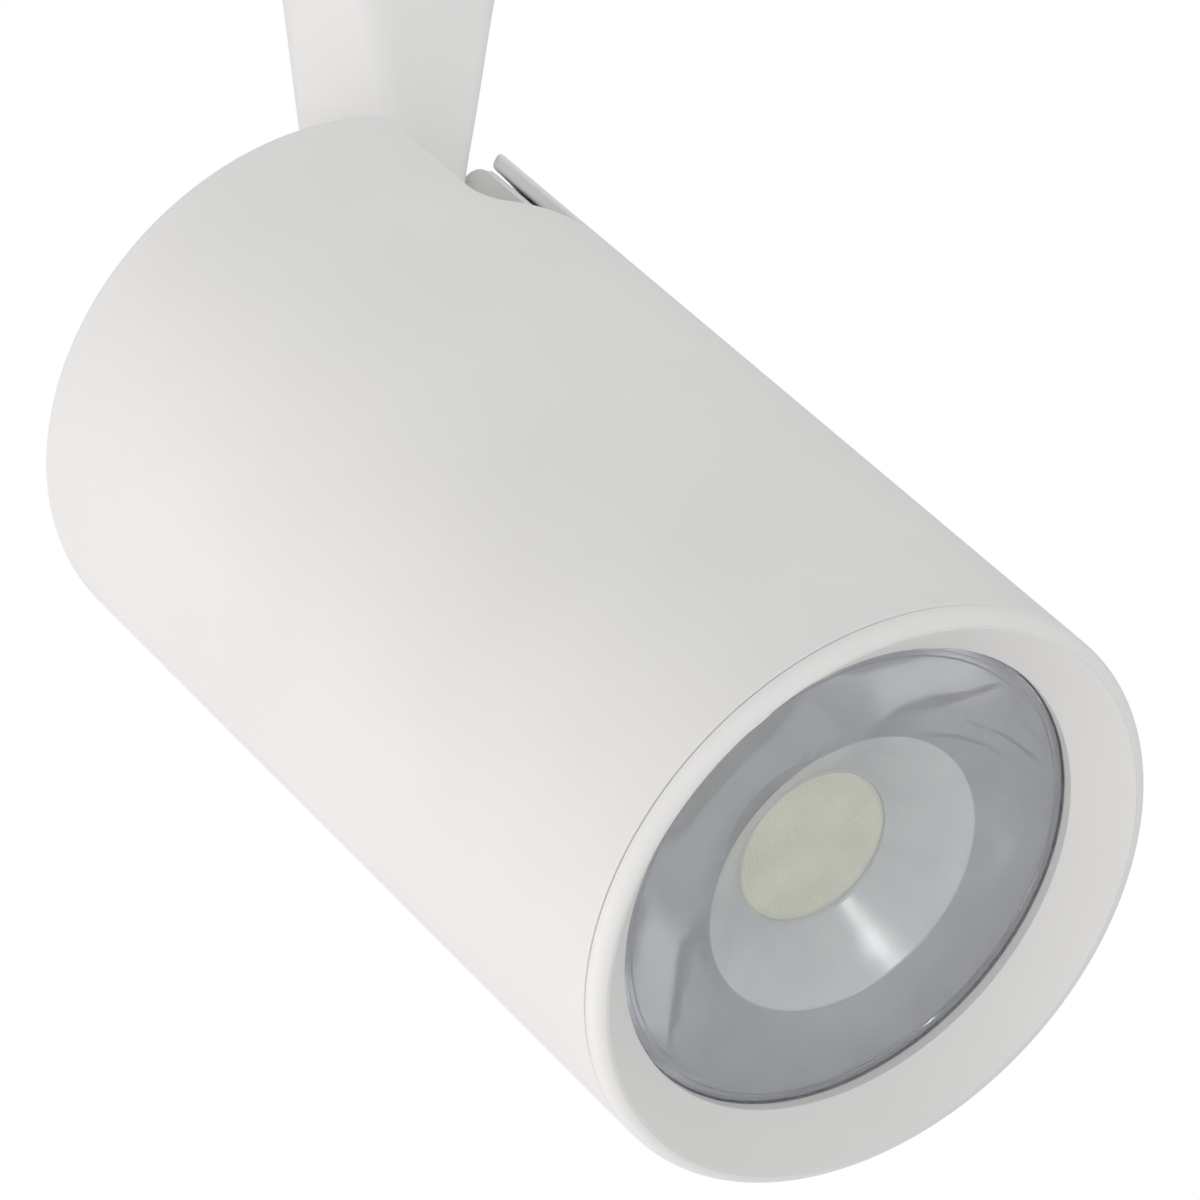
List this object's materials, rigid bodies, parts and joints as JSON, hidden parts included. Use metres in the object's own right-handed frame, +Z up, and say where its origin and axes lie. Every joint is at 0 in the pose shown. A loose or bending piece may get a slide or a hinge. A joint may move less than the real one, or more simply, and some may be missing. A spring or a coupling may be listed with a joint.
{
  "type": "track spotlight",
  "caption": "Cylindrical LED spotlight head with a dished front ring and clear lens, tilting on a flared arm that swivels under a driver box with a track adapter.",
  "frame": {"origin": "on the arm's vertical pan axis, in the plane where the adapter's top face seats against the track", "axes": "+Z up into the track, -Y the way the lens heads at rest, +X along the tilt pivot"},
  "size_m": [0.09, 0.1725, 0.2733],
  "materials": {
    "head_paint": "satin",
    "cover_plastic": "matte",
    "box_plastic": "matte",
    "lens_clear": "gloss",
    "holder_plastic": "gloss",
    "gasket": "matte",
    "substrate": "satin",
    "phosphor": "matte",
    "pad": "matte",
    "sink_aluminium": "satin",
    "steel": "satin",
    "contact_copper": "polished",
    "nylon": "satin",
    "lead_sheath": "satin",
    "board_green": "satin",
    "black_plastic": "satin",
    "winding": "satin",
    "capacitor_yellow": "gloss"
  },
  "bodies": {
    "driver_box": {"driver_housing": "box_plastic", "driver_board": "board_green", "transformer": "black_plastic", "terminal_block": "nylon", "filter_choke": "winding", "bulk_capacitor": "black_plastic", "input_capacitor": "capacitor_yellow", "adapter_base": "box_plastic", "base_screw_1": "steel", "base_screw_2": "steel", "base_screw_3": "steel", "base_screw_4": "steel", "adapter_tower": "box_plastic", "earth_contact": "contact_copper"},
    "arm": {"arm": "head_paint", "arm_lead": "lead_sheath", "swivel_washer": "nylon", "wave_washer": "steel", "swivel_stud": "steel", "swivel_nut": "steel", "stop_pin": "steel"},
    "head": {"housing": "head_paint", "front_bezel": "head_paint", "lens": "lens_clear", "lens_gasket": "gasket", "lens_holder": "holder_plastic", "cob_board": "substrate", "cob_phosphor": "phosphor", "cob_clamp": "holder_plastic", "cob_screw_1": "steel", "cob_screw_2": "steel", "thermal_pad": "pad", "heat_sink": "sink_aluminium", "pivot_bracket": "head_paint", "bracket_screw_1": "steel", "bracket_screw_2": "steel", "rear_cover": "cover_plastic", "cover_screw_1": "steel", "cover_screw_2": "steel", "cover_screw_3": "steel", "pivot_bolt": "steel", "friction_washer_1": "nylon", "friction_washer_2": "nylon", "disc_spring": "steel", "pivot_nut": "steel", "cob_lead": "lead_sheath"},
    "lock": {"lock_lever": "box_plastic", "lock_cam": "steel"},
    "contacts": {"contact_lever": "box_plastic", "line_contact": "contact_copper", "neutral_contact": "contact_copper"}
  },
  "joints": [
    {"name": "pan", "type": "hinge", "parent": "driver_box", "child": "arm", "pos_m": [0, 0, -0.1389], "axis": [0, 0, 1], "range_deg": [-170, 170]},
    {"name": "tilt", "type": "hinge", "parent": "arm", "child": "head", "pos_m": [0, 0, -0.1389], "axis": [1, 0, 0], "range_deg": [-32.3, 49.7]},
    {"name": "lock_turn", "type": "hinge", "parent": "driver_box", "child": "lock", "pos_m": [0, -0.077, 0], "axis": [0, 0, 1], "range_deg": [0, 90]},
    {"name": "contact_turn", "type": "hinge", "parent": "driver_box", "child": "contacts", "pos_m": [0, -0.024, 0], "axis": [0, 0, 1], "range_deg": [0, 90]}
  ]
}
